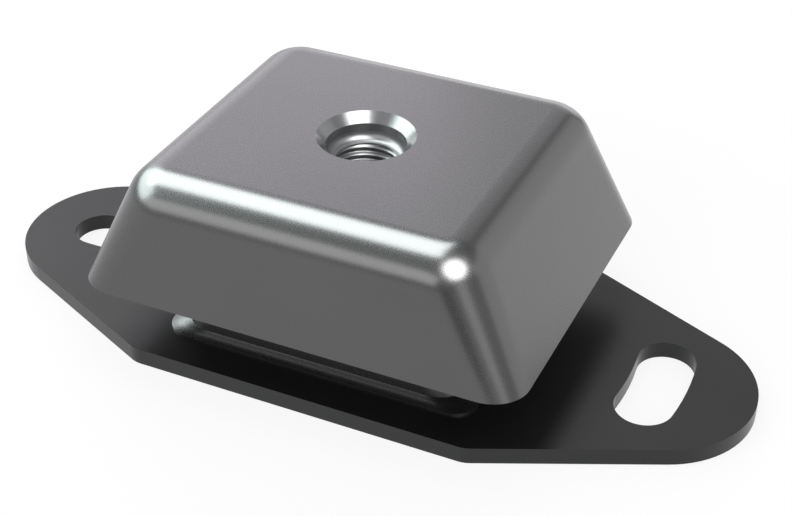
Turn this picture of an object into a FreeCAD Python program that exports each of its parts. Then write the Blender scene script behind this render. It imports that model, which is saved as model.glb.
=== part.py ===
import FreeCAD, Part
import math
import os
import Sketcher

# Marine engine mount: a pressed hood over a saddle that is welded to a slotted base plate, with two
# inclined rubber pads bonded between them. The engine's stud screws into the hub under the hood.
# Millimetres and degrees. +Z is up, +X runs along the base plate, and the origin is the middle of
# the base plate's underside.

SIZES = [
    # Base plate
    ("plate_length", 183, "overall length of the base plate"),
    ("plate_width", 75, "width of the base plate's middle"),
    ("plate_sheet", 4, "thickness of the base plate"),
    ("plate_straight", 80, "length over which the base plate has its full width"),
    ("plate_end_round", 22, "radius of the base plate's round ends"),
    ("plate_corner_round", 6, "radius where the straight edges turn into the tapers"),
    ("fixing_centres", 140, "distance between the middles of the two fixing slots"),
    ("slot_width", 13, "width of both fixing slots"),
    ("slot_length", 20, "overall length of the straight slot"),
    ("curved_slot_angle", 14, "angle between the end centres of the curved slot"),
    # Hood
    ("overall_height", 49, "height of the hood's top above the underside of the base plate"),
    ("hood_length", 103.6, "length of the hood across its rim"),
    ("hood_width", 81.4, "width of the hood across its rim"),
    ("rim_height", 20, "height of the hood's rim above the underside of the base plate"),
    ("end_slope", 24.4, "lean of the end walls and pads from the vertical"),
    ("side_slope", 5.2, "lean of the side walls from the vertical"),
    ("hood_sheet", 4, "wall thickness of the hood"),
    ("hood_corner_round", 11, "radius of the hood's four upright corners"),
    ("hood_crown_round", 9.5, "radius where the hood's walls turn into its top"),
    ("stud_hole", 17.8, "diameter of the hole in the hood's top"),
    ("stud_hole_chamfer", 2.1, "chamfer at the mouth of that hole"),
    # Hub
    ("hub_flange_diameter", 38, "diameter of the hub's flange under the hood"),
    ("hub_flange_height", 4, "thickness of the hub's flange"),
    ("hub_diameter", 25, "diameter of the hub below its flange"),
    ("hub_recess_depth", 2.1, "depth of the recess between the stud hole and the thread"),
    ("thread_bore", 14, "core diameter of the M16 thread"),
    ("hub_spigot", 20, "diameter of the spigot that takes the rebound washer"),
    ("hub_tail", 2.5, "length of the spigot below the rebound washer"),
    # Saddle
    ("saddle_length", 74, "length of the saddle across its foot"),
    ("saddle_width", 59, "width of the saddle across its foot"),
    ("saddle_height", 24, "height of the saddle above the base plate"),
    ("saddle_sheet", 2.5, "wall thickness of the saddle"),
    ("saddle_lip", 2, "width of the saddle's welding lip outside its walls"),
    ("saddle_lip_round", 9, "radius of the lip's corners"),
    ("saddle_top_chamfer", 2, "chamfer where the saddle's walls turn into its top"),
    ("hub_clearance", 4, "radial room between the hub and the hole in the saddle"),
    # Rubber pads
    ("pad_inner_width", 37, "width of a pad where it is bonded to the saddle"),
    ("pad_outer_width", 50, "width of a pad where it is bonded to the hood"),
    ("pad_above_plate", 6, "height of a pad's inner end above the base plate"),
    ("pad_below_saddle_top", 3, "distance of a pad's inner end below the saddle's top"),
    ("pad_above_rim", 1.5, "height of a pad's outer end above the rim"),
    ("pad_below_hood_top", 9, "distance of a pad's outer end below the hood's top"),
    ("pad_waist", 2, "depth by which a pad's free faces are hollowed"),
    # Stops
    ("overload_gap", 5, "free travel down before the overload buffer is met"),
    ("overload_buffer_width", 5.5, "width of the overload buffer's ring"),
    ("rebound_gap", 1.5, "free travel up before the rebound buffer meets the saddle"),
    ("rebound_buffer_height", 3, "thickness of the rebound buffer"),
    ("washer_diameter", 41, "diameter of the rebound washer"),
    ("washer_height", 4, "thickness of the rebound washer"),
    ("buffer_inset", 1, "distance of a buffer's edges from the edges of what carries it"),
    ("ring_sheet", 1.2, "thickness of the retaining ring"),
    ("ring_groove_depth", 0.5, "depth of the groove for the retaining ring"),
    ("ring_width", 2.6, "radial width of the retaining ring"),
    ("ring_opening", 8, "width of the retaining ring's opening"),
    ("ring_lug", 4.4, "diameter of the retaining ring's lugs"),
]

doc = FreeCAD.newDocument("engine_mount")
sheet = doc.addObject("Spreadsheet::Sheet", "sizes")
for row, (alias, size, meaning) in enumerate(SIZES, start=1):
    sheet.set(f"A{row}", alias)
    sheet.set(f"B{row}", str(size))
    sheet.set(f"C{row}", meaning)
    sheet.setAlias(f"B{row}", alias)
doc.recompute()

# Heights that several pieces share, all measured from the underside of the base plate.
PLATE_TOP = "sizes.plate_sheet"
SADDLE_TOP = "(sizes.plate_sheet + sizes.saddle_height)"
SADDLE_CEILING = f"({SADDLE_TOP} - sizes.saddle_sheet)"
HOOD_CEILING = "(sizes.overall_height - sizes.hood_sheet)"
FLANGE_BOTTOM = f"({HOOD_CEILING} - sizes.hub_flange_height)"
OVERLOAD_TOP = f"({FLANGE_BOTTOM} - sizes.overload_gap)"
REBOUND_TOP = f"({SADDLE_CEILING} - sizes.rebound_gap)"
WASHER_TOP = f"({REBOUND_TOP} - sizes.rebound_buffer_height)"
WASHER_BOTTOM = f"({WASHER_TOP} - sizes.washer_height)"
HUB_BOTTOM = f"({WASHER_BOTTOM} - sizes.hub_tail)"
SADDLE_HOLE_RADIUS = "(sizes.hub_diameter / 2 + sizes.hub_clearance)"

# Edges that lie closer to a place than this lie at it.
TOUCH = 0.001


def new_body(label):
    """An empty body whose label is the piece's name."""
    body = doc.addObject("PartDesign::Body", label)
    body.Label = label
    return body


def origin_plane(body, role):
    """One of a body's own origin planes."""
    return next(item for item in body.Origin.OriginFeatures if item.Role == role)


def new_sketch(body, name, role, offset=None):
    """A sketch on one of the body's origin planes, moved along the plane's normal by an expression."""
    sketch = body.newObject("Sketcher::SketchObject", name)
    sketch.AttachmentSupport = [(origin_plane(body, role), "")]
    sketch.MapMode = "FlatFace"
    if offset:
        sketch.setExpression("AttachmentOffset.Base.z", offset)
    return sketch


def bind(sketch, kind, elements, name, expression, drawn):
    """A dimension of a sketch, tied to the sheet by an expression. It starts at its size as drawn."""
    index = sketch.addConstraint(Sketcher.Constraint(kind, *elements, drawn))
    sketch.renameConstraint(index, name)
    sketch.setExpression(f"Constraints.{name}", expression)


def draw_polygon(sketch, corners):
    """A closed outline of straight lines. Each corner is a pair of expressions.

    It is drawn small and regular, clear of the axes, and its dimensions then move the corners.
    """
    count = len(corners)
    turns = [2 * math.pi * i / count for i in range(count)]
    drawn = [FreeCAD.Vector(2 + math.cos(turn), 2 + math.sin(turn), 0) for turn in turns]
    for i in range(count):
        sketch.addGeometry(Part.LineSegment(drawn[i], drawn[(i + 1) % count]), False)
    for i in range(count):
        sketch.addConstraint(Sketcher.Constraint("Coincident", i, 2, (i + 1) % count, 1))
    for i, (across, up) in enumerate(corners):
        bind(sketch, "DistanceX", (-1, 1, i, 1), f"across_{i}", across, drawn[i].x)
        bind(sketch, "DistanceY", (-1, 1, i, 1), f"up_{i}", up, drawn[i].y)


def draw_circle(sketch, diameter, across="0 mm", up="0 mm"):
    """A circle whose diameter and middle are expressions."""
    drawn = Part.Circle(FreeCAD.Vector(2, 2, 0), FreeCAD.Vector(0, 0, 1), 1)
    index = sketch.addGeometry(drawn, False)
    bind(sketch, "Diameter", (index,), f"diameter_{index}", diameter, 2 * drawn.Radius)
    bind(sketch, "DistanceX", (-1, 1, index, 3), f"across_{index}", across, drawn.Center.x)
    bind(sketch, "DistanceY", (-1, 1, index, 3), f"up_{index}", up, drawn.Center.y)


def pad(body, sketch, name, height):
    """Material from a sketch, along its normal."""
    feature = body.newObject("PartDesign::Pad", name)
    feature.Profile = sketch
    feature.setExpression("Length", height)
    doc.recompute()
    return feature


def cut_through(body, sketch, name):
    """A hole of the sketch's outline through the whole piece."""
    before = body.Shape.Volume
    feature = body.newObject("PartDesign::Pocket", name)
    feature.Profile = sketch
    feature.Type = "ThroughAll"
    feature.Midplane = True
    doc.recompute()
    if body.Shape.Volume >= before:
        raise RuntimeError(f"{name} cut nothing")
    return feature


def turn_profile(body, name, corners):
    """A turned solid. Each corner of its half section is (radius, height)."""
    sketch = new_sketch(body, f"{name}_section", "XZ_Plane")
    draw_polygon(sketch, corners)
    doc.recompute()
    feature = body.newObject("PartDesign::Revolution", name)
    feature.Profile = sketch
    feature.ReferenceAxis = (sketch, ["V_Axis"])
    feature.Angle = 360
    doc.recompute()
    return feature


def wedge(body, name, kind, bottom, top, length, width, end_slope, side_slope):
    """A block between two heights whose four walls lean inwards. Length and width are at the bottom."""
    feature = body.newObject(kind, name)
    feature.AttachmentSupport = [(origin_plane(body, "XZ_Plane"), "")]
    feature.MapMode = "FlatFace"
    rise = f"({top} - {bottom})"
    lean_along = f"{rise} * tan({end_slope})"
    lean_across = f"{rise} * tan({side_slope})"
    bound = {
        "Ymin": bottom,
        "Ymax": top,
        "Xmax": f"({length}) / 2",
        "Xmin": f"-({length}) / 2",
        "Zmax": f"({width}) / 2",
        "Zmin": f"-({width}) / 2",
        "X2max": f"({length}) / 2 - {lean_along}",
        "X2min": f"-({length}) / 2 + {lean_along}",
        "Z2max": f"({width}) / 2 - {lean_across}",
        "Z2min": f"-({width}) / 2 + {lean_across}",
    }
    for name_of_size, expression in bound.items():
        feature.setExpression(name_of_size, expression)
    doc.recompute()
    return feature


def edges_where(feature, test):
    """The names of a feature's edges that pass a test."""
    return [f"Edge{i}" for i, edge in enumerate(feature.Shape.Edges, start=1) if test(edge)]


def dress(body, kind, name, base, edges, size_name, expression):
    """A fillet or chamfer on some edges of a feature."""
    feature = body.newObject(kind, name)
    feature.Base = (base, edges)
    feature.setExpression(size_name, expression)
    doc.recompute()
    return feature


def round_edges(body, name, base, edges, expression):
    """A fillet on some edges of a feature."""
    return dress(body, "PartDesign::Fillet", name, base, edges, "Radius", expression)


def heights(edge):
    """The heights of an edge's ends."""
    return [vertex.Z for vertex in edge.Vertexes]


def is_upright(edge):
    """True for an edge that climbs from one height to another."""
    return max(heights(edge)) - min(heights(edge)) > TOUCH


def climbs_to(height):
    """A test for the edges that climb to one height."""
    return lambda edge: is_upright(edge) and abs(max(heights(edge)) - height) < TOUCH


def stands_beside(distance):
    """A test for the upright edges at one distance in front of the middle or behind it."""
    return lambda edge: is_upright(edge) and abs(abs(edge.CenterOfMass.y) - distance) < TOUCH


def lies_at(height):
    """A test for the edges that lie wholly at one height."""
    return lambda edge: all(abs(z - height) < TOUCH for z in heights(edge))


def value(alias):
    """A driving size as a plain number."""
    return float(sheet.get(alias))


# Base plate: one stamped steel plate. Its sides are straight in the middle, taper to round ends, and
# hold two fixing slots: a straight one along the plate and one that is curved about its middle.

def base_plate():
    body = new_body("base_plate")
    outline = new_sketch(body, "plate_outline", "XY_Plane")
    half_straight = value("plate_straight") / 2
    half_width = value("plate_width") / 2
    end_round = value("plate_end_round")
    centre = value("plate_length") / 2 - end_round
    tangent_angle = math.radians(65)
    tip_x = centre + end_round * math.cos(tangent_angle)
    tip_y = end_round * math.sin(tangent_angle)
    corners = [(-half_straight, half_width), (half_straight, half_width), (tip_x, tip_y), (tip_x, -tip_y),
               (half_straight, -half_width), (-half_straight, -half_width), (-tip_x, -tip_y),
               (-tip_x, tip_y)]
    points = [FreeCAD.Vector(x, y, 0) for x, y in corners]
    up = FreeCAD.Vector(0, 0, 1)
    right_circle = Part.Circle(FreeCAD.Vector(centre, 0, 0), up, end_round)
    left_circle = Part.Circle(FreeCAD.Vector(-centre, 0, 0), up, end_round)
    back = outline.addGeometry(Part.LineSegment(points[0], points[1]), False)
    back_right = outline.addGeometry(Part.LineSegment(points[1], points[2]), False)
    right_end = outline.addGeometry(Part.ArcOfCircle(right_circle, -tangent_angle, tangent_angle), False)
    front_right = outline.addGeometry(Part.LineSegment(points[3], points[4]), False)
    front = outline.addGeometry(Part.LineSegment(points[4], points[5]), False)
    front_left = outline.addGeometry(Part.LineSegment(points[5], points[6]), False)
    left_end = outline.addGeometry(
        Part.ArcOfCircle(left_circle, math.pi - tangent_angle, math.pi + tangent_angle), False)
    back_left = outline.addGeometry(Part.LineSegment(points[7], points[0]), False)
    outline.addConstraint([
        Sketcher.Constraint("Coincident", back, 2, back_right, 1),
        Sketcher.Constraint("Tangent", back_right, 2, right_end, 2),
        Sketcher.Constraint("Tangent", right_end, 1, front_right, 1),
        Sketcher.Constraint("Coincident", front_right, 2, front, 1),
        Sketcher.Constraint("Coincident", front, 2, front_left, 1),
        Sketcher.Constraint("Tangent", front_left, 2, left_end, 2),
        Sketcher.Constraint("Tangent", left_end, 1, back_left, 1),
        Sketcher.Constraint("Coincident", back_left, 2, back, 1),
        Sketcher.Constraint("Symmetric", back, 1, back, 2, -2),
        Sketcher.Constraint("Symmetric", back, 2, front, 1, -1),
        Sketcher.Constraint("Symmetric", front, 1, front, 2, -2),
        Sketcher.Constraint("PointOnObject", right_end, 3, -1),
        Sketcher.Constraint("Symmetric", right_end, 3, left_end, 3, -2),
        Sketcher.Constraint("Equal", right_end, left_end),
    ])
    bind(outline, "DistanceX", (-1, 1, back, 2), "half_straight", "sizes.plate_straight / 2",
         half_straight)
    bind(outline, "DistanceY", (-1, 1, back, 2), "half_width", "sizes.plate_width / 2", half_width)
    bind(outline, "Radius", (right_end,), "end_round", "sizes.plate_end_round", end_round)
    bind(outline, "DistanceX", (-1, 1, right_end, 3), "end_centre",
         "sizes.plate_length / 2 - sizes.plate_end_round", centre)
    doc.recompute()
    plate = pad(body, outline, "plate", "sizes.plate_sheet")

    corners = edges_where(plate, stands_beside(half_width))
    round_edges(body, "plate_corners", plate, corners, "sizes.plate_corner_round")

    straight = new_sketch(body, "straight_slot", "XY_Plane")
    half_run = (value("slot_length") - value("slot_width")) / 2
    half_slot = value("slot_width") / 2
    middle = -value("fixing_centres") / 2
    far_circle = Part.Circle(FreeCAD.Vector(middle - half_run, 0, 0), up, half_slot)
    near_circle = Part.Circle(FreeCAD.Vector(middle + half_run, 0, 0), up, half_slot)
    far = straight.addGeometry(Part.ArcOfCircle(far_circle, math.pi / 2, 3 * math.pi / 2), False)
    near = straight.addGeometry(Part.ArcOfCircle(near_circle, -math.pi / 2, math.pi / 2), False)
    low_side = Part.LineSegment(FreeCAD.Vector(middle - half_run, -half_slot, 0),
                                FreeCAD.Vector(middle + half_run, -half_slot, 0))
    high_side = Part.LineSegment(FreeCAD.Vector(middle + half_run, half_slot, 0),
                                 FreeCAD.Vector(middle - half_run, half_slot, 0))
    low = straight.addGeometry(low_side, False)
    high = straight.addGeometry(high_side, False)
    straight.addConstraint([
        Sketcher.Constraint("Tangent", far, 2, low, 1),
        Sketcher.Constraint("Tangent", low, 2, near, 1),
        Sketcher.Constraint("Tangent", near, 2, high, 1),
        Sketcher.Constraint("Tangent", high, 2, far, 1),
        Sketcher.Constraint("PointOnObject", far, 3, -1),
        Sketcher.Constraint("PointOnObject", near, 3, -1),
        Sketcher.Constraint("Equal", far, near),
    ])
    bind(straight, "Radius", (far,), "half_slot", "sizes.slot_width / 2", half_slot)
    bind(straight, "DistanceX", (-1, 1, far, 3), "far_centre",
         "-sizes.fixing_centres / 2 - (sizes.slot_length - sizes.slot_width) / 2", middle - half_run)
    bind(straight, "DistanceX", (-1, 1, near, 3), "near_centre",
         "-sizes.fixing_centres / 2 + (sizes.slot_length - sizes.slot_width) / 2", middle + half_run)
    doc.recompute()
    cut_through(body, straight, "straight_slot_cut")

    curved = new_sketch(body, "curved_slot", "XY_Plane")
    slot_radius = value("fixing_centres") / 2
    half_angle = math.radians(value("curved_slot_angle")) / 2
    origin = FreeCAD.Vector(0, 0, 0)
    outer_circle = Part.Circle(origin, up, slot_radius + half_slot)
    inner_circle = Part.Circle(origin, up, slot_radius - half_slot)
    back_centre = FreeCAD.Vector(slot_radius * math.cos(half_angle), slot_radius * math.sin(half_angle), 0)
    front_centre = FreeCAD.Vector(back_centre.x, -back_centre.y, 0)
    outer = curved.addGeometry(Part.ArcOfCircle(outer_circle, -half_angle, half_angle), False)
    inner = curved.addGeometry(Part.ArcOfCircle(inner_circle, -half_angle, half_angle), False)
    back_end = curved.addGeometry(
        Part.ArcOfCircle(Part.Circle(back_centre, up, half_slot), half_angle, half_angle + math.pi), False)
    front_end = curved.addGeometry(
        Part.ArcOfCircle(Part.Circle(front_centre, up, half_slot), -half_angle - math.pi, -half_angle),
        False)
    curved.addConstraint([
        Sketcher.Constraint("Coincident", outer, 3, -1, 1),
        Sketcher.Constraint("Coincident", inner, 3, -1, 1),
        Sketcher.Constraint("Tangent", outer, 2, back_end, 1),
        Sketcher.Constraint("Tangent", back_end, 2, inner, 2),
        Sketcher.Constraint("Tangent", outer, 1, front_end, 2),
        Sketcher.Constraint("Tangent", front_end, 1, inner, 1),
    ])
    bind(curved, "Radius", (outer,), "outer_radius", "sizes.fixing_centres / 2 + sizes.slot_width / 2",
         outer_circle.Radius)
    bind(curved, "Radius", (inner,), "inner_radius", "sizes.fixing_centres / 2 - sizes.slot_width / 2",
         inner_circle.Radius)
    bind(curved, "DistanceY", (-1, 1, back_end, 3), "back_centre",
         "sizes.fixing_centres / 2 * sin(sizes.curved_slot_angle / 2)", back_centre.y)
    bind(curved, "DistanceY", (-1, 1, front_end, 3), "front_centre",
         "-sizes.fixing_centres / 2 * sin(sizes.curved_slot_angle / 2)", front_centre.y)
    doc.recompute()
    cut_through(body, curved, "curved_slot_cut")
    return body


# Saddle: one deep-drawn steel pressing, open below, with a small lip all round that is welded to the
# base plate. Its ends lean as the hood's do, so that the pads between them have one thickness.

WALL_LENGTH = "(sizes.saddle_length - 2 * sizes.saddle_lip)"
WALL_WIDTH = "(sizes.saddle_width - 2 * sizes.saddle_lip)"


def saddle():
    body = new_body("saddle")
    walls = wedge(body, "outer_form", "PartDesign::AdditiveWedge", PLATE_TOP, SADDLE_TOP,
                  WALL_LENGTH, WALL_WIDTH, "sizes.end_slope", "sizes.side_slope")
    walls = round_edges(body, "outer_corners", walls, edges_where(walls, is_upright),
                        "sizes.saddle_lip_round - sizes.saddle_lip")
    saddle_top = value("plate_sheet") + value("saddle_height")
    dress(body, "PartDesign::Chamfer", "top_chamfer", walls, edges_where(walls, lies_at(saddle_top)),
          "Size", "sizes.saddle_top_chamfer")

    lip_outline = new_sketch(body, "lip_outline", "XY_Plane", PLATE_TOP)
    half_length = "sizes.saddle_length / 2"
    half_width = "sizes.saddle_width / 2"
    draw_polygon(lip_outline, [(half_length, half_width), (f"-{half_length}", half_width),
                               (f"-{half_length}", f"-{half_width}"), (half_length, f"-{half_width}")])
    doc.recompute()
    lip = pad(body, lip_outline, "lip", "sizes.saddle_sheet")
    lip_corners = edges_where(lip, stands_beside(value("saddle_width") / 2))
    round_edges(body, "lip_corners", lip, lip_corners, "sizes.saddle_lip_round")

    inner_length = f"{WALL_LENGTH} - 2 * sizes.saddle_sheet / cos(sizes.end_slope)"
    inner_width = f"{WALL_WIDTH} - 2 * sizes.saddle_sheet / cos(sizes.side_slope)"
    hollow = wedge(body, "inner_form", "PartDesign::SubtractiveWedge", PLATE_TOP, SADDLE_CEILING,
                   inner_length, inner_width, "sizes.end_slope", "sizes.side_slope")
    ceiling = saddle_top - value("saddle_sheet")
    round_edges(body, "inner_corners", hollow, edges_where(hollow, climbs_to(ceiling)),
                "sizes.saddle_lip_round - sizes.saddle_lip - sizes.saddle_sheet")

    hub_hole = new_sketch(body, "hub_hole", "XY_Plane")
    draw_circle(hub_hole, f"2 * {SADDLE_HOLE_RADIUS}")
    doc.recompute()
    cut_through(body, hub_hole, "hub_hole_cut")
    return body


# Hood: one steel pressing, open below, with leaning walls, a rounded crown and a chamfered hole for
# the engine's stud. It sheds oil and water and is bonded to the outer faces of the two pads.

def hood():
    body = new_body("hood")
    form = wedge(body, "outer_form", "PartDesign::AdditiveWedge", "sizes.rim_height",
                 "sizes.overall_height", "sizes.hood_length", "sizes.hood_width",
                 "sizes.end_slope", "sizes.side_slope")
    form = round_edges(body, "outer_corners", form, edges_where(form, is_upright),
                       "sizes.hood_corner_round")
    form = round_edges(body, "crown", form, edges_where(form, lies_at(value("overall_height"))),
                       "sizes.hood_crown_round")

    inner_length = "sizes.hood_length - 2 * sizes.hood_sheet / cos(sizes.end_slope)"
    inner_width = "sizes.hood_width - 2 * sizes.hood_sheet / cos(sizes.side_slope)"
    hollow = wedge(body, "inner_form", "PartDesign::SubtractiveWedge", "sizes.rim_height", HOOD_CEILING,
                   inner_length, inner_width, "sizes.end_slope", "sizes.side_slope")
    ceiling = value("overall_height") - value("hood_sheet")
    inner_edges = edges_where(hollow, climbs_to(ceiling)) + edges_where(hollow, lies_at(ceiling))
    round_edges(body, "inner_rounds", hollow, inner_edges, "sizes.hood_crown_round - sizes.hood_sheet")

    stud_hole = new_sketch(body, "stud_hole", "XY_Plane")
    draw_circle(stud_hole, "sizes.stud_hole")
    doc.recompute()
    drilled = cut_through(body, stud_hole, "stud_hole_cut")
    in_top = lies_at(value("overall_height"))
    mouth = edges_where(drilled, lambda edge: in_top(edge) and edge.isClosed())
    dress(body, "PartDesign::Chamfer", "stud_hole_chamfer", drilled, mouth, "Size",
          "sizes.stud_hole_chamfer")
    return body


# Hub: a turned steel piece, welded by its flange to the underside of the hood's top. It has a recess
# as wide as the hood's hole, an M16 thread right through, and a stepped and grooved spigot below.

def threaded_hub():
    body = new_body("threaded_hub")
    bore = "sizes.thread_bore / 2"
    recess = "sizes.stud_hole / 2"
    spigot = "sizes.hub_spigot / 2"
    groove = f"{spigot} - sizes.ring_groove_depth"
    groove_bottom = f"{WASHER_BOTTOM} - sizes.ring_sheet"
    corners = [
        (bore, HUB_BOTTOM),
        (spigot, HUB_BOTTOM),
        (spigot, groove_bottom),
        (groove, groove_bottom),
        (groove, WASHER_BOTTOM),
        (spigot, WASHER_BOTTOM),
        (spigot, WASHER_TOP),
        ("sizes.hub_diameter / 2", WASHER_TOP),
        ("sizes.hub_diameter / 2", FLANGE_BOTTOM),
        ("sizes.hub_flange_diameter / 2", FLANGE_BOTTOM),
        ("sizes.hub_flange_diameter / 2", HOOD_CEILING),
        (recess, HOOD_CEILING),
        (recess, f"{HOOD_CEILING} - sizes.hub_recess_depth"),
        (bore, f"{HOOD_CEILING} - sizes.hub_recess_depth"),
    ]
    turn_profile(body, "turned_form", corners)
    return body


# Rubber pads: one inclined block at each end, moulded and bonded between the saddle's leaning end and
# the hood's. Each is modelled upright, with X across its thickness, and then leaned into place.

PAD_THICKNESS = (f"((sizes.hood_length / 2 + (sizes.rim_height - {PLATE_TOP}) * tan(sizes.end_slope)"
                 f" - {WALL_LENGTH} / 2) * cos(sizes.end_slope) - sizes.hood_sheet)")


def on_saddle(height):
    """How far up the saddle's wall, along its slope, a height above the base plate lies."""
    return f"({height}) / cos(sizes.end_slope)"


def on_hood(height):
    """The same for a height above the base plate on the hood's inner wall, across the pad."""
    return f"(({height}) / cos(sizes.end_slope) - {PAD_THICKNESS} * tan(sizes.end_slope))"


def rubber_pad(label, turn):
    body = new_body(label)
    inner_low = on_saddle("sizes.pad_above_plate")
    inner_high = on_saddle("sizes.saddle_height - sizes.pad_below_saddle_top")
    outer_low = on_hood("sizes.rim_height + sizes.pad_above_rim - sizes.plate_sheet")
    outer_high = on_hood("sizes.overall_height - sizes.pad_below_hood_top - sizes.plate_sheet")
    sections = [
        ("bond_to_saddle", "0 mm", "sizes.pad_inner_width / 2", inner_low, inner_high),
        ("waist", f"{PAD_THICKNESS} / 2",
         "(sizes.pad_inner_width + sizes.pad_outer_width) / 4 - sizes.pad_waist",
         f"({inner_low} + {outer_low}) / 2 + sizes.pad_waist",
         f"({inner_high} + {outer_high}) / 2 - sizes.pad_waist"),
        ("bond_to_hood", PAD_THICKNESS, "sizes.pad_outer_width / 2", outer_low, outer_high),
    ]
    sketches = []
    for name, distance, half_width, low, high in sections:
        section = new_sketch(body, name, "YZ_Plane", distance)
        draw_polygon(section, [(half_width, low), (half_width, high),
                               (f"-({half_width})", high), (f"-({half_width})", low)])
        sketches.append(section)
    doc.recompute()
    block = body.newObject("PartDesign::AdditiveLoft", "moulded_block")
    block.Profile = sketches[0]
    block.Sections = sketches[1:]
    block.Ruled = False
    doc.recompute()

    body.setExpression("Placement.Base.x", f"cos({turn}) * {WALL_LENGTH} / 2")
    body.setExpression("Placement.Base.z", PLATE_TOP)
    body.setExpression(
        "Placement.Rotation",
        f"rotation({turn}; 0; 0) * rotation(vector(0; 1; 0); -sizes.end_slope)")
    return body


# Buffers, washer and retaining ring: the stops that limit the engine's travel. The overload buffer
# is bonded to the saddle's top. The washer is clamped on the hub by its ring and carries the other.

def overload_buffer():
    body = new_body("overload_buffer")
    inner = f"{SADDLE_HOLE_RADIUS} + sizes.buffer_inset / 2"
    outer = f"{inner} + sizes.overload_buffer_width"
    turn_profile(body, "moulded_ring", [(inner, SADDLE_TOP), (outer, SADDLE_TOP),
                                        (outer, OVERLOAD_TOP), (inner, OVERLOAD_TOP)])
    return body


def rebound_washer():
    body = new_body("rebound_washer")
    turn_profile(body, "turned_washer", [("sizes.hub_spigot / 2", WASHER_BOTTOM),
                                         ("sizes.washer_diameter / 2", WASHER_BOTTOM),
                                         ("sizes.washer_diameter / 2", WASHER_TOP),
                                         ("sizes.hub_spigot / 2", WASHER_TOP)])
    return body


def rebound_buffer():
    body = new_body("rebound_buffer")
    inner = "sizes.hub_diameter / 2 + sizes.buffer_inset"
    outer = "sizes.washer_diameter / 2 - sizes.buffer_inset / 2"
    turn_profile(body, "moulded_ring", [(inner, WASHER_TOP), (outer, WASHER_TOP),
                                        (outer, REBOUND_TOP), (inner, REBOUND_TOP)])
    return body


def retaining_ring():
    body = new_body("retaining_ring")
    base = f"{WASHER_BOTTOM} - sizes.ring_sheet"
    inner = "(sizes.hub_spigot / 2 - sizes.ring_groove_depth)"
    outer = f"({inner} + sizes.ring_width)"
    lug_across = f"({inner} + sizes.ring_lug / 2)"
    lug_up = "((sizes.ring_opening + sizes.ring_lug) / 2)"
    turn_profile(body, "ring", [(inner, base), (outer, base),
                                (outer, WASHER_BOTTOM), (inner, WASHER_BOTTOM)])
    lugs = new_sketch(body, "lugs", "XY_Plane", base)
    draw_circle(lugs, "sizes.ring_lug", lug_across, lug_up)
    draw_circle(lugs, "sizes.ring_lug", lug_across, f"-{lug_up}")
    doc.recompute()
    pad(body, lugs, "lug_discs", "sizes.ring_sheet")
    opening = new_sketch(body, "opening", "XY_Plane")
    half_opening = "sizes.ring_opening / 2"
    draw_polygon(opening, [("0 mm", f"-{half_opening}"), (f"2 * {outer}", f"-{half_opening}"),
                           (f"2 * {outer}", half_opening), ("0 mm", half_opening)])
    doc.recompute()
    cut_through(body, opening, "opening_cut")
    return body


pieces = [
    base_plate(),
    saddle(),
    hood(),
    threaded_hub(),
    rubber_pad("rubber_pad_right", "0"),
    rubber_pad("rubber_pad_left", "180"),
    overload_buffer(),
    rebound_washer(),
    rebound_buffer(),
    retaining_ring(),
]
doc.recompute()

for item in doc.Objects:
    if "Invalid" in item.State or "Error" in item.State:
        raise RuntimeError(f"{item.Name} failed: {item.State}")
    if item.TypeId == "Sketcher::SketchObject" and not item.FullyConstrained:
        raise RuntimeError(f"{item.Name} is not fully constrained")
for piece in pieces:
    if piece.Shape.isNull() or not piece.Shape.isValid():
        raise RuntimeError(f"{piece.Label} has no valid shape")
    if len(piece.Shape.Solids) != 1:
        raise RuntimeError(f"{piece.Label} is in {len(piece.Shape.Solids)} parts")

os.makedirs("parts", exist_ok=True)
for piece in pieces:
    piece.Shape.exportStep(f"parts/{piece.Label}.step")
    box = piece.Shape.optimalBoundingBox(True, False)
    print(f"{piece.Label}: volume {piece.Shape.Volume:.0f}, x {box.XMin:.2f} to {box.XMax:.2f},"
          f" y {box.YMin:.2f} to {box.YMax:.2f}, z {box.ZMin:.2f} to {box.ZMax:.2f}")
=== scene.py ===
import math
import bpy
import numpy as np
from mathutils import Matrix, Vector


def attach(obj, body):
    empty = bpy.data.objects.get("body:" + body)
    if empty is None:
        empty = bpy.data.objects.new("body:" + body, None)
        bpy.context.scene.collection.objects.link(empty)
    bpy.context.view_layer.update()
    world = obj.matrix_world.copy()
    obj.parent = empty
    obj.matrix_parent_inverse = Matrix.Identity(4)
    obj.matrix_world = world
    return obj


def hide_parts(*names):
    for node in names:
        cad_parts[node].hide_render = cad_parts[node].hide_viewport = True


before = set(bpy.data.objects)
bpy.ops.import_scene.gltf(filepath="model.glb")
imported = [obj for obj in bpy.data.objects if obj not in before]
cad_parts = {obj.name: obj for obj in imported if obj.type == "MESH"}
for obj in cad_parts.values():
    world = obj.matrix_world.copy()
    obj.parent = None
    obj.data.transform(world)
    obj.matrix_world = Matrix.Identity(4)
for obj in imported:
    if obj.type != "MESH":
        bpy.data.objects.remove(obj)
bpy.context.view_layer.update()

# Camera: it stands in front of the mount and to its right, and looks down at it. The turn, the tilt
# and the roll are in degrees, and the place is in metres.

camera_place = Vector((0.12935, -0.26472, 0.21865))
camera_turn = math.radians(24.75)
camera_tilt = math.radians(34.43)
camera_roll = math.radians(0.17)

ahead = Vector((-math.sin(camera_turn) * math.cos(camera_tilt),
                math.cos(camera_turn) * math.cos(camera_tilt),
                -math.sin(camera_tilt)))
level_right = ahead.cross(Vector((0, 0, 1))).normalized()
level_up = level_right.cross(ahead)
right = level_right * math.cos(camera_roll) + level_up * math.sin(camera_roll)
up = level_up * math.cos(camera_roll) - level_right * math.sin(camera_roll)

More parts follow.
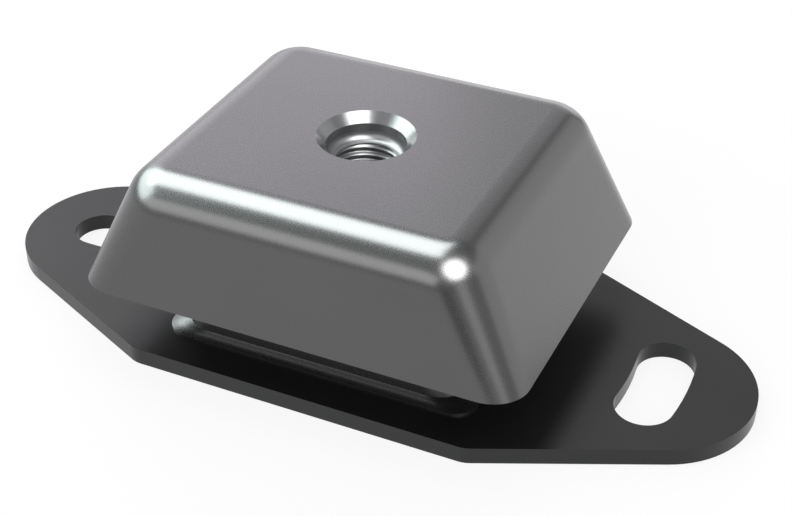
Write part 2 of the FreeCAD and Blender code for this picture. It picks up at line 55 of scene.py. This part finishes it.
camera_data = bpy.data.cameras.new("camera")
camera_data.sensor_width = 36
camera_data.lens = 71.04
camera_data.clip_start = 0.01
camera = bpy.data.objects.new("camera", camera_data)
camera_axes = Matrix((right, up, -ahead)).transposed()
camera.matrix_world = Matrix.Translation(camera_place) @ camera_axes.to_4x4()
bpy.context.scene.collection.objects.link(camera)
bpy.context.scene.camera = camera
bpy.context.scene.view_settings.view_transform = "Standard"


# Studio: a pale floor that the camera and the steel see as white, and that still takes a soft
# shadow. The room is a dim grey, with soft lamps above the mount and all round it.

def link(material, start, start_socket, end, end_socket):
    """A link between two nodes of one material."""
    material.node_tree.links.new(start.outputs[start_socket], end.inputs[end_socket])


floor_size = 4.0
floor_height = -0.0002
floor_glow = 0.82
floor_mesh = bpy.data.meshes.new("floor")
floor_corners = [(-floor_size, -floor_size, floor_height), (floor_size, -floor_size, floor_height),
                 (floor_size, floor_size, floor_height), (-floor_size, floor_size, floor_height)]
floor_mesh.from_pydata(floor_corners, [], [(0, 1, 2, 3)])
floor = bpy.data.objects.new("floor", floor_mesh)
bpy.context.scene.collection.objects.link(floor)

# The camera, gloss and glass see the glow with a faint grey that takes the shadow. All other light
# meets a pale grey.
white_floor = bpy.data.materials.new("white_floor")
white_floor.use_nodes = True
nodes = white_floor.node_tree.nodes
nodes.clear()
output = nodes.new("ShaderNodeOutputMaterial")
either = nodes.new("ShaderNodeMixShader")
seen = nodes.new("ShaderNodeAddShader")
glow = nodes.new("ShaderNodeEmission")
glow.inputs["Strength"].default_value = floor_glow
faint = nodes.new("ShaderNodeBsdfDiffuse")
faint.inputs["Color"].default_value = (0.22, 0.22, 0.22, 1)
pale = nodes.new("ShaderNodeBsdfDiffuse")
pale.inputs["Color"].default_value = (0.75, 0.75, 0.75, 1)
path = nodes.new("ShaderNodeLightPath")
camera_or_gloss = nodes.new("ShaderNodeMath")
camera_or_gloss.operation = "MAXIMUM"
or_glass = nodes.new("ShaderNodeMath")
or_glass.operation = "MAXIMUM"
link(white_floor, path, "Is Camera Ray", camera_or_gloss, 0)
link(white_floor, path, "Is Glossy Ray", camera_or_gloss, 1)
link(white_floor, camera_or_gloss, 0, or_glass, 0)
link(white_floor, path, "Is Transmission Ray", or_glass, 1)
link(white_floor, glow, 0, seen, 0)
link(white_floor, faint, 0, seen, 1)
link(white_floor, or_glass, 0, either, 0)
link(white_floor, pale, 0, either, 1)
link(white_floor, seen, 0, either, 2)
link(white_floor, either, 0, output, 0)
floor_mesh.materials.append(white_floor)

room = bpy.data.worlds.new("room")
room.use_nodes = True
room_light = room.node_tree.nodes["Background"]
room_light.inputs["Color"].default_value = (0.98, 0.98, 1.0, 1)
room_light.inputs["Strength"].default_value = 0.5
bpy.context.scene.world = room

lamp_distance = 1.6
lamp_aim = Vector((0, 0, 0.03))
plain_white = (1.0, 1.0, 1.0)


def lamp_face(name, shape, length, breadth, strength, colour):
    """A lamp with a face of the given size in metres, which shines down.

    A strength of 1 is white, and the energy is strength * pi * the area of the face.
    """
    lamp_data = bpy.data.lights.new(name, "AREA")
    lamp_data.shape = shape
    lamp_data.size = length
    lamp_data.size_y = breadth
    share = math.pi / 4 if shape == "ELLIPSE" else 1
    lamp_data.energy = strength * math.pi * share * lamp_data.size * lamp_data.size_y
    lamp_data.color = colour
    lamp = bpy.data.objects.new(name, lamp_data)
    bpy.context.scene.collection.objects.link(lamp)
    return lamp


def soft_lamp(name, shape, azimuth, elevation, width, height, strength, colour=plain_white):
    """A lamp that faces the mount from the lamp distance and spans the given angles, in degrees.

    Azimuth 0 is +X and 90 is +Y. The face spans 2 * distance * tan(angle / 2) either way.
    """
    toward = Vector((math.cos(math.radians(azimuth)) * math.cos(math.radians(elevation)),
                     math.sin(math.radians(azimuth)) * math.cos(math.radians(elevation)),
                     math.sin(math.radians(elevation))))
    lamp = lamp_face(name, shape, 2 * lamp_distance * math.tan(math.radians(width / 2)),
                     2 * lamp_distance * math.tan(math.radians(height / 2)), strength, colour)
    lamp.location = lamp_aim + lamp_distance * toward
    lamp.rotation_euler = (-toward).to_track_quat("-Z", "Y").to_euler()
    return lamp


# The numbers are azimuth, elevation, width, height and strength, with the colour after them.
soft_lamp("back_lamp", "RECTANGLE", 130, 20, 32, 34, 1.63, (0.96, 0.90, 1.0))
soft_lamp("far_back_lamp", "RECTANGLE", 98, 24, 30, 38, 0.65, (0.99, 0.96, 1.0))
soft_lamp("horizon_lamp", "RECTANGLE", 98, 6, 34, 12, 1.7, (0.97, 0.95, 1.0))
soft_lamp("front_lamp", "RECTANGLE", -117, 24, 60, 24, 2.2)
soft_lamp("corner_strip", "RECTANGLE", -35, 7, 19, 14, 1.15)

# These only show as highlights in the gloss. The high lamp hangs level and shines down, and the
# right card lies on the floor beyond the mount's right end and shines up.
highlights = [
    soft_lamp("round_lamp", "ELLIPSE", -40, 49, 46, 48, 12.0),
    soft_lamp("left_lamp", "RECTANGLE", -180, 31, 60, 36, 7.0, (0.88, 1.0, 0.97)),
    soft_lamp("right_lamp", "RECTANGLE", 37, 18, 66, 40, 0.82),
    lamp_face("high_lamp", "RECTANGLE", 1.50, 1.02, 9.0, (0.93, 1.0, 0.985)),
    lamp_face("right_card", "RECTANGLE", 1.50, 0.90, 0.30, plain_white),
]
high_lamp, right_card = highlights[-2:]
high_lamp.location = (-0.81, 0.228, 1.23)
right_card.location = (0.68, 0.52, 0.0005)
right_card.rotation_euler = (math.pi, 0, math.radians(42))
for lamp in highlights:
    lamp.visible_diffuse = False
    lamp.visible_camera = False

# The ceiling lamp only lights the surfaces, and doesn't show in the gloss.
ceiling_lamp = soft_lamp("ceiling_lamp", "RECTANGLE", -100, 78, 60, 60, 0.6)
ceiling_lamp.visible_glossy = False

# A dark flag that only the gloss sees stands on the floor before the mount's right front corner.
flag_left = (0.073, -0.188)
flag_right = (0.128, -0.168)
flag_height = 0.060
flag_mesh = bpy.data.meshes.new("dark_flag")
flag_mesh.from_pydata([(*flag_left, 0.0), (*flag_right, 0.0), (*flag_right, flag_height),
                       (*flag_left, flag_height)], [], [(0, 1, 2, 3)])
flag_cloth = bpy.data.materials.new("flag_cloth")
flag_cloth.use_nodes = True
flag_shader = flag_cloth.node_tree.nodes["Principled BSDF"]
flag_shader.inputs["Base Color"].default_value = (0.45, 0.45, 0.45, 1)
flag_shader.inputs["Specular IOR Level"].default_value = 0
flag_mesh.materials.append(flag_cloth)
flag = bpy.data.objects.new("dark_flag", flag_mesh)
flag.visible_camera = False
flag.visible_diffuse = False
flag.visible_shadow = False
bpy.context.scene.collection.objects.link(flag)


# Base plate: a stamped plate of 4 mm steel with one straight and one curved fixing slot. It keeps
# the solid's own shape. Its black satin coat has a faint metallic sheen on top. The cut edges get a
# darker copy of the coat with no metallic sheen, which is painted shade on the plate's sides.

def new_group(name, inputs, outputs):
    """An empty node group with number inputs and outputs, as (tree, its input, its output)."""
    tree = bpy.data.node_groups.new(name, "ShaderNodeTree")
    for label, value in inputs:
        socket = tree.interface.new_socket(label, in_out="INPUT", socket_type="NodeSocketFloat")
        socket.default_value = value
    for label in outputs:
        tree.interface.new_socket(label, in_out="OUTPUT", socket_type="NodeSocketFloat")
    return tree, tree.nodes.new("NodeGroupInput"), tree.nodes.new("NodeGroupOutput")


steel_patches = 40.0
steel_grain = 2500.0
grain_depth = 0.00002
grain, grain_in, grain_out = new_group(
    "surface_grain", [("Patch Scale", steel_patches), ("Grain Scale", steel_grain)],
    ["Patches", "Grain"])
place = grain.nodes.new("ShaderNodeTexCoord")
patch_noise = grain.nodes.new("ShaderNodeTexNoise")
patch_noise.inputs["Detail"].default_value = 4
grain_noise = grain.nodes.new("ShaderNodeTexNoise")
grain_noise.inputs["Detail"].default_value = 2
for noise, scale, result in ((patch_noise, "Patch Scale", "Patches"),
                             (grain_noise, "Grain Scale", "Grain")):
    grain.links.new(place.outputs["Object"], noise.inputs["Vector"])
    grain.links.new(grain_in.outputs[scale], noise.inputs["Scale"])
    grain.links.new(noise.outputs["Fac"], grain_out.inputs[result])


def finish(name, dark, light, metallic, roughness, spread, bump,
           grain_scale=steel_grain, patch_scale=steel_patches):
    """A grained finish for steel or rubber.

    Broad faint patches run from the dark to the light tone. A fine grain moves the roughness by the
    spread, up and down, and raises the bump.
    """
    material = bpy.data.materials.new(name)
    material.use_nodes = True
    tree = material.node_tree
    shader = tree.nodes["Principled BSDF"]
    shader.inputs["Metallic"].default_value = metallic
    group = tree.nodes.new("ShaderNodeGroup")
    group.node_tree = grain
    group.inputs["Patch Scale"].default_value = patch_scale
    group.inputs["Grain Scale"].default_value = grain_scale
    tone = tree.nodes.new("ShaderNodeMix")
    tone.data_type = "RGBA"
    tone.inputs["A"].default_value = (*dark, 1)
    tone.inputs["B"].default_value = (*light, 1)
    gloss = tree.nodes.new("ShaderNodeMapRange")
    gloss.inputs["To Min"].default_value = roughness - spread
    gloss.inputs["To Max"].default_value = roughness + spread
    relief = tree.nodes.new("ShaderNodeBump")
    relief.inputs["Strength"].default_value = bump
    relief.inputs["Distance"].default_value = grain_depth
    link(material, group, "Patches", tone, "Factor")
    link(material, tone, "Result", shader, "Base Color")
    link(material, group, "Grain", gloss, "Value")
    link(material, gloss, "Result", shader, "Roughness")
    link(material, group, "Grain", relief, "Height")
    link(material, relief, "Normal", shader, "Normal")
    return material


plate_top = 0.004
face_margin = 0.00005
face_metallic = 0.8
# The tone below the top face is darker than the top's: painted shade on the plate's cut edges.
shaded_edge_tone = (0.023, 0.0237, 0.0237, 1)
black_coat = finish("black_coat", (0.0380, 0.0370, 0.0365), (0.0455, 0.0445, 0.0440),
                    metallic=face_metallic, roughness=0.29, spread=0.03, bump=0.2)
coat_tree = black_coat.node_tree
coat_shader = coat_tree.nodes["Principled BSDF"]
coat_shader.inputs["Specular Tint"].default_value = (0.58, 0.58, 0.58, 1)
face_tone = coat_tree.nodes["Mix"]
coat_place = coat_tree.nodes.new("ShaderNodeTexCoord")
coat_height = coat_tree.nodes.new("ShaderNodeSeparateXYZ")
on_face = coat_tree.nodes.new("ShaderNodeMath")
on_face.operation = "GREATER_THAN"
on_face.inputs[1].default_value = plate_top - face_margin
shaded_edge_or_top = coat_tree.nodes.new("ShaderNodeMix")
shaded_edge_or_top.data_type = "RGBA"
shaded_edge_or_top.inputs["A"].default_value = shaded_edge_tone
face_metal = coat_tree.nodes.new("ShaderNodeMath")
face_metal.operation = "MULTIPLY"
face_metal.inputs[1].default_value = face_metallic
link(black_coat, coat_place, "Object", coat_height, "Vector")
link(black_coat, coat_height, "Z", on_face, 0)
link(black_coat, on_face, 0, shaded_edge_or_top, "Factor")
link(black_coat, on_face, 0, face_metal, 0)
link(black_coat, face_metal, 0, coat_shader, "Metallic")
link(black_coat, face_tone, "Result", shaded_edge_or_top, "B")
link(black_coat, shaded_edge_or_top, "Result", coat_shader, "Base Color")
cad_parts["base_plate"].material_slots[0].material = black_coat


# Saddle: a deep-drawn pressing of 2.5 mm steel in a glossier black coat, open below. The lip round
# its foot slopes up from the base plate, to which it is welded, and its top clears the hub.

crisp_angle = math.radians(35)


def closed_surface(name, points, material, capped=False):
    """A smooth piece from a grid of points, as rows by columns. The columns run round and back.

    The rows run round and back too, or the first and the last row are closed by a flat face each.
    Edges sharper than the crisp angle stay crisp.
    """
    rows, columns = points.shape[:2]
    here = np.arange(rows * columns).reshape(rows, columns)
    above = np.roll(here, -1, axis=0)
    faces = np.stack([here, np.roll(here, -1, axis=1), np.roll(above, -1, axis=1), above], axis=-1)
    if capped:
        faces = faces[:-1]
    faces = faces.reshape(-1, 4).tolist()
    if capped:
        faces += [here[0, ::-1].tolist(), here[-1].tolist()]
    mesh = bpy.data.meshes.new(name)
    mesh.from_pydata(points.reshape(-1, 3).tolist(), [], faces)
    mesh.polygons.foreach_set("use_smooth", [True] * len(mesh.polygons))
    mesh.set_sharp_from_angle(angle=crisp_angle)
    mesh.materials.append(material)
    piece = bpy.data.objects.new(name, mesh)
    bpy.context.scene.collection.objects.link(piece)
    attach(piece, "root")
    return piece


corner_steps = 14
side_steps = 34


def leaning_outline(half_length, half_width, base, end_slope, side_slope, corner_round):
    """The round of a box whose four walls lean inwards, with rounded leaning corners.

    A corner is a leaning cylinder that touches both walls: its axis stands off the sharp edge by
    radius * (n1 + n2) / (1 + n1.n2), and its normal turns evenly from one wall's to the other's.
    Gives points at the base height, the outward normals, and how far each point moves per unit of
    height. Columns run anticlockwise, seen from above, with plain steps along the sides.
    """
    end = math.radians(end_slope)
    side = math.radians(side_slope)
    end_normal = np.array([math.cos(end), 0.0, math.sin(end)])
    side_normal = np.array([0.0, math.cos(side), math.sin(side)])
    climb = np.array([-math.tan(end), -math.tan(side), 1.0])
    turn = math.acos(end_normal @ side_normal)
    share = np.linspace(0, 1, corner_steps)[:, None]
    normals = (np.sin((1 - share) * turn) * end_normal
               + np.sin(share * turn) * side_normal) / math.sin(turn)
    stand_off = corner_round * (end_normal + side_normal) / (1 + end_normal @ side_normal)
    points = np.array([half_length, half_width, base]) - stand_off + corner_round * normals
    points = points + (base - points[:, 2:]) * climb

    corners, corner_normals, climbs = [], [], []
    for flip, order in (((1, 1, 1), 1), ((-1, 1, 1), -1), ((-1, -1, 1), 1), ((1, -1, 1), -1)):
        corners.append((points * flip)[::order])
        corner_normals.append((normals * flip)[::order])
        climbs.append(np.tile(climb * flip, (corner_steps, 1)))
    along = np.linspace(0, 1, side_steps + 2)[1:-1, None]
    all_points, all_normals, all_climbs = [], [], []
    for i in range(4):
        after = (i + 1) % 4
        all_points += [corners[i], corners[i][-1] + along * (corners[after][0] - corners[i][-1])]
        all_normals += [corner_normals[i], np.tile(corner_normals[i][-1], (side_steps, 1))]
        all_climbs += [climbs[i], climbs[i][-1] + along * (climbs[after][0] - climbs[i][-1])]
    return np.vstack(all_points), np.vstack(all_normals), np.vstack(all_climbs)


def at_height(outline, height):
    """The outline's points slid along the wall to one height, or each to its own height."""
    points, _, climbs = outline
    return points + (height - points[:, 2:]) * climbs


def crown_rows(outline, top, radius, steps):
    """Rows of the round between the walls and a flat top, from the wall up.

    A ball of the radius touches the wall at the height top - radius * (1 - nz) and the flat top.
    Its middle is the touching point less radius times the normal, and the arc swings from the
    normal to straight up.
    """
    _, normals, _ = outline
    lean = normals[:, 2:]
    middle = at_height(outline, top - radius * (1 - lean)) - radius * normals
    level = normals[:, :2] / np.linalg.norm(normals[:, :2], axis=1)[:, None]
    start = np.arcsin(lean)
    rows = []
    for part in np.linspace(0, 1, steps):
        angle = start + part * (math.pi / 2 - start)
        rows.append(middle + radius * np.hstack([np.cos(angle) * level, np.sin(angle)]))
    return rows


def ring_row(outline_row, radius, height):
    """A circle with one point for each column, in the direction in which that column lies."""
    angle = np.arctan2(outline_row[:, 1], outline_row[:, 0])
    return np.stack([radius * np.cos(angle), radius * np.sin(angle), np.full(len(angle), height)],
                    axis=1)


def between(first, last, shares):
    """Rows between two rows, at the given shares of the way."""
    return [first + share * (last - first) for share in shares]


end_lean = 24.4
side_lean = 5.2
saddle_half_length = 0.035
saddle_half_width = 0.0275
saddle_top = 0.028
saddle_sheet = 0.0025
saddle_ceiling = saddle_top - saddle_sheet
hub_hole_radius = 0.0165
lip_half_length = 0.0377
lip_half_width = 0.0292
foot_rise = 0.0020
saddle_lip = leaning_outline(lip_half_length, lip_half_width, plate_top, 0, 0, corner_round=0.0058)
saddle_wall = leaning_outline(saddle_half_length, saddle_half_width, plate_top,
                              end_lean, side_lean, corner_round=0.007)
saddle_inside = leaning_outline(
    saddle_half_length - saddle_sheet / math.cos(math.radians(end_lean)),
    saddle_half_width - saddle_sheet / math.cos(math.radians(side_lean)),
    plate_top, end_lean, side_lean, corner_round=0.0045)


def foot_row(share, rise):
    """A row of the foot: a share of the way from the lip to the wall, raised above the plate."""
    lip = at_height(saddle_lip, plate_top)
    row = lip + share * (at_height(saddle_wall, plate_top + foot_rise) - lip)
    row[:, 2] = plate_top + rise
    return row


# The foot's profile: shares of the way from the lip to the wall, and heights above the plate.
foot_profile = ((0, 0), (0, 0.0005), (0.2, 0.0007), (0.48, 0.00105), (0.55, 0.0012), (0.8, 0.0016),
                (1, foot_rise))
foot = [foot_row(share, rise) for share, rise in foot_profile]
bend = crown_rows(saddle_wall, saddle_top, radius=0.003, steps=7)
inner_bend = crown_rows(saddle_inside, saddle_ceiling, radius=0.0008, steps=4)
hole_edge = ring_row(bend[-1], hub_hole_radius, saddle_top)
inner_hole_edge = ring_row(inner_bend[-1], hub_hole_radius, saddle_ceiling)
rows = [*foot, *between(foot[-1], bend[0], (0.05, 0.5, 0.9)), *bend]
rows += [*between(bend[-1], hole_edge, (0.1, 0.5)), hole_edge,
         ring_row(bend[-1], hub_hole_radius, saddle_ceiling)]
rows += between(inner_hole_edge, inner_bend[-1], (0.5, 0.9))
rows += [*inner_bend[::-1], at_height(saddle_inside, plate_top)]
saddle_coat = finish("saddle_coat", (0.009, 0.009, 0.009), (0.013, 0.013, 0.013),
                     metallic=0.0, roughness=0.28, spread=0.03, bump=0.2)
saddle_coat.node_tree.nodes["Principled BSDF"].inputs["Specular IOR Level"].default_value = 0.75
saddle = closed_surface("saddle_pressing", np.array(rows), saddle_coat)
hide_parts("saddle")


# Rubber pads: two leaning blocks of black rubber, moulded between the saddle's ends and the hood's.
# Their free faces are hollowed and their edges are round.

def rubber_finish(name):
    """Moulded rubber: dull black with a soft bloom in patches and a fine dimpled skin."""
    return finish(name, (0.012, 0.012, 0.012), (0.022, 0.022, 0.021), metallic=0.0, roughness=0.62,
                  spread=0.1, bump=0.6, grain_scale=1500.0, patch_scale=90.0)


rubber = rubber_finish("moulded_rubber")
rim = 0.020
hood_half_length = 0.0518
hood_sheet = 0.004
wall_slope = math.radians(end_lean)
pad_thickness = ((hood_half_length + (rim - plate_top) * math.tan(wall_slope) - saddle_half_length)
                 * math.cos(wall_slope) - hood_sheet)
on_hood_shift = pad_thickness * math.tan(wall_slope)

# Half width, low end and high end of a pad where it sits on each wall. The ends are heights above
# the plate, measured up the slope of the saddle's wall.
pad_at_saddle = (0.0185, 0.006 / math.cos(wall_slope), 0.021 / math.cos(wall_slope))
pad_at_hood = (0.025, 0.0175 / math.cos(wall_slope) - on_hood_shift,
               0.036 / math.cos(wall_slope) - on_hood_shift)
pad_hollow = 0.002
pad_edge_round = 0.0018
pad_rows = 15
pad_corner_points = 6


def pad_surface(mirrored):
    """One pad: a rounded rectangle whose half width and two ends change across the pad's thickness.

    Each of the three runs from its value at the saddle to its value at the hood on a straight line,
    less 4 * hollow * share * (1 - share). The section's corners are quarter circles.
    """
    share = np.linspace(0, 1, pad_rows)[:, None]
    hollow = 4 * pad_hollow * share * (1 - share)
    half_width = pad_at_saddle[0] + share * (pad_at_hood[0] - pad_at_saddle[0]) - hollow
    low = pad_at_saddle[1] + share * (pad_at_hood[1] - pad_at_saddle[1]) + hollow
    high = pad_at_saddle[2] + share * (pad_at_hood[2] - pad_at_saddle[2]) - hollow
    quarter = np.linspace(0, math.pi / 2, pad_corner_points)
    swing = np.concatenate([quarter + i * math.pi / 2 for i in range(4)])[None, :]
    side = np.repeat([1, -1, -1, 1], pad_corner_points)[None, :]
    rise = np.repeat([1, 1, -1, -1], pad_corner_points)[None, :]
    across = side * (half_width - pad_edge_round) + pad_edge_round * np.cos(swing)
    climb = ((high + low) / 2 + rise * ((high - low) / 2 - pad_edge_round)
             + pad_edge_round * np.sin(swing))
    out = share * pad_thickness + 0 * across
    x = saddle_half_length + out * math.cos(wall_slope) - climb * math.sin(wall_slope)
    z = plate_top + out * math.sin(wall_slope) + climb * math.cos(wall_slope)
    points = np.stack([x, across, z], axis=-1)
    return points * (-1, -1, 1) if mirrored else points


for name, node, mirrored in (("moulded_pad_right", "rubber_pad_right", False),
                             ("moulded_pad_left", "rubber_pad_left", True)):
    moulded_pad = closed_surface(name, pad_surface(mirrored), rubber, capped=True)
    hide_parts(node)


# Hood: a pressing of 4 mm steel with a plain satin metal finish. Its walls lean, its crown is round
# and its rim is cut square, with tighter corners than the crown's. The chamfered hole for the
# engine's stud is cut after pressing, and its steel is brighter.

hood_steel = finish("hood_steel", (0.110, 0.110, 0.110), (0.120, 0.119, 0.120),
                    metallic=1.0, roughness=0.27, spread=0.02, bump=0.1)
cut_steel = finish("cut_steel", (0.185, 0.187, 0.189), (0.210, 0.212, 0.214),
                   metallic=0.55, roughness=0.24, spread=0.04, bump=0.2)
hood_half_width = 0.0407
top = 0.049
ceiling = top - hood_sheet
stud_hole_radius = 0.0089
stud_chamfer = 0.0021
crown_round = 0.0095
inner_crown_round = 0.0055
hood_wall = leaning_outline(hood_half_length, hood_half_width, rim, end_lean, side_lean,
                            corner_round=0.011)
hood_inside = leaning_outline(hood_half_length - hood_sheet / math.cos(math.radians(end_lean)),
                              hood_half_width - hood_sheet / math.cos(math.radians(side_lean)),
                              rim, end_lean, side_lean, corner_round=0.007)
hood_rim = leaning_outline(hood_half_length, hood_half_width, rim, end_lean, side_lean,
                           corner_round=0.0083)

rim_row = at_height(hood_rim, rim)
crown = crown_rows(hood_wall, top, crown_round, steps=15)
inner_crown = crown_rows(hood_inside, ceiling, inner_crown_round, steps=8)
mouth = ring_row(crown[-1], stud_hole_radius + stud_chamfer, top)
below_mouth = ring_row(crown[-1], stud_hole_radius, top - stud_chamfer)
lip_of_hole = ring_row(inner_crown[-1], stud_hole_radius, ceiling)
rows = [rim_row, *between(rim_row, crown[0], (0.01, 0.3, 0.9, 0.99)), *crown,
        *between(crown[-1], mouth, (0.01, 0.1, 0.5, 0.9, 0.985))]
first_cut_row = len(rows)
rows += [mouth, *between(mouth, below_mouth, (0.04, 0.96)), below_mouth]
cut_rows = len(rows) - first_cut_row
rows += [ring_row(crown[-1], stud_hole_radius, ceiling),
         *between(lip_of_hole, inner_crown[-1], (0.5, 0.95)), *inner_crown[::-1],
         at_height(hood_inside, rim)]
hood = closed_surface("pressed_hood", np.array(rows), hood_steel)
hood.data.materials.append(cut_steel)
row_of_face = np.arange(len(hood.data.polygons)) // len(mouth)
is_cut = (row_of_face >= first_cut_row) & (row_of_face < first_cut_row + cut_rows)
hood.data.polygons.foreach_set("material_index", is_cut.astype(int))
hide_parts("hood")


# Hub: turned from bright steel and welded by its flange under the hood's top. A concave lead-in
# meets the hood's hole, an M16 thread of 2 mm pitch runs right through, and a groove holds the ring
# below.

bright_steel = finish("bright_steel", (0.18, 0.182, 0.184), (0.21, 0.212, 0.214), metallic=0.6,
                      roughness=0.34, spread=0.04, bump=0.1, grain_scale=4000.0, patch_scale=120.0)
turn_steps = 160


def turned_rows(profile):
    """Circles about the Z axis, one for each (radius, height) of a profile."""
    angle = np.linspace(0, 2 * math.pi, turn_steps, endpoint=False)
    return [np.stack([radius * np.cos(angle), radius * np.sin(angle), np.full(turn_steps, height)],
                     axis=1) for radius, height in profile]


thread_core = 0.0070
thread_root = 0.0078
thread_top = 0.0429
thread_bottom = 0.0155
pitch = 0.002
steps_per_pitch = 16
crest_share = 0.15
flank_share = 0.75
top_fade = 0.4


def thread_rows():
    """The threaded bore, from its bottom up.

    The radius at a height is the core's plus the depth of the groove there. The groove is half a
    cosine wave of the turn (height / pitch - angle / full turn), flat at the crest and at the root,
    and it fades out over one pitch at the bottom and over 0.4 of a pitch at the top.
    """
    angle = np.linspace(0, 2 * math.pi, turn_steps, endpoint=False)[None, :]
    height = np.arange(thread_bottom, thread_top, pitch / steps_per_pitch)[:, None]
    turn = np.abs(2 * ((height / pitch - angle / (2 * math.pi)) % 1) - 1)
    wave = 0.5 - 0.5 * np.cos(math.pi * np.clip((turn - crest_share) / flank_share, 0, 1))
    room_left = np.minimum(height - thread_bottom, (thread_top - height) / top_fade)
    radius = thread_core + (thread_root - thread_core) * wave * np.clip(room_left / pitch, 0, 1)
    circles = [radius * np.cos(angle), radius * np.sin(angle), height + 0 * angle]
    return list(np.stack(circles, axis=-1))


# The lead-in is a quarter of an ellipse that curves in from the hood's hole to the thread.
lead_in_width = 0.0019
lead_in_depth = 0.0021
lead_in_steps = 9
lead_in = [(stud_hole_radius - lead_in_width * (1 - math.cos(angle)),
            ceiling - lead_in_depth * math.sin(angle))
           for angle in np.linspace(0, math.pi / 2, lead_in_steps)]

# Radius and height of each corner: the flange, the barrel, the spigot with its groove, the low end.
outside = [(0.0089, 0.0450), (0.0187, 0.0450), (0.0190, 0.0447), (0.0190, 0.0413), (0.0187, 0.0410),
           (0.0127, 0.0410), (0.0125, 0.0408), (0.0125, 0.0213), (0.0122, 0.0210), (0.0100, 0.0210),
           (0.0100, 0.0170), (0.0095, 0.0170), (0.0095, 0.0158), (0.0100, 0.0158), (0.0100, 0.0149),
           (0.0096, 0.0145), (0.0080, 0.0145)]
rows = turned_rows(outside) + thread_rows() + turned_rows(lead_in[:0:-1])
hub = closed_surface("threaded_hub_turned", np.array(rows)[:, ::-1], bright_steel)
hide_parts("threaded_hub")


# Stops: a rubber ring bonded to the saddle's top, and a steel washer with a thinner rubber ring
# that a spring ring holds on the hub's spigot. The spring ring keeps the solid's own shape. Each
# profile is the radius and the height of its corners.

overload = [(0.0170, 0.0280), (0.0225, 0.0280), (0.0225, 0.0345), (0.0221, 0.0355),
            (0.0211, 0.0360), (0.0184, 0.0360), (0.0174, 0.0355), (0.0170, 0.0345)]
overload_ring = closed_surface("overload_ring", np.array(turned_rows(overload)), rubber)
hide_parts("overload_buffer")

rebound = [(0.0135, 0.0210), (0.0200, 0.0210), (0.0200, 0.0232), (0.0197, 0.0238),
           (0.0191, 0.0240), (0.0144, 0.0240), (0.0138, 0.0238), (0.0135, 0.0232)]
rebound_ring = closed_surface("rebound_ring", np.array(turned_rows(rebound)), rubber)
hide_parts("rebound_buffer")

washer = [(0.0100, 0.0170), (0.0202, 0.0170), (0.0205, 0.0173), (0.0205, 0.0207),
          (0.0202, 0.0210), (0.0100, 0.0210)]
stop_washer = closed_surface("stop_washer", np.array(turned_rows(washer)), bright_steel)
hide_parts("rebound_washer")

spring_steel = finish("spring_steel", (0.05, 0.05, 0.055), (0.08, 0.078, 0.075),
                      metallic=1.0, roughness=0.35, spread=0.06, bump=0.3)
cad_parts["retaining_ring"].material_slots[0].material = spring_steel
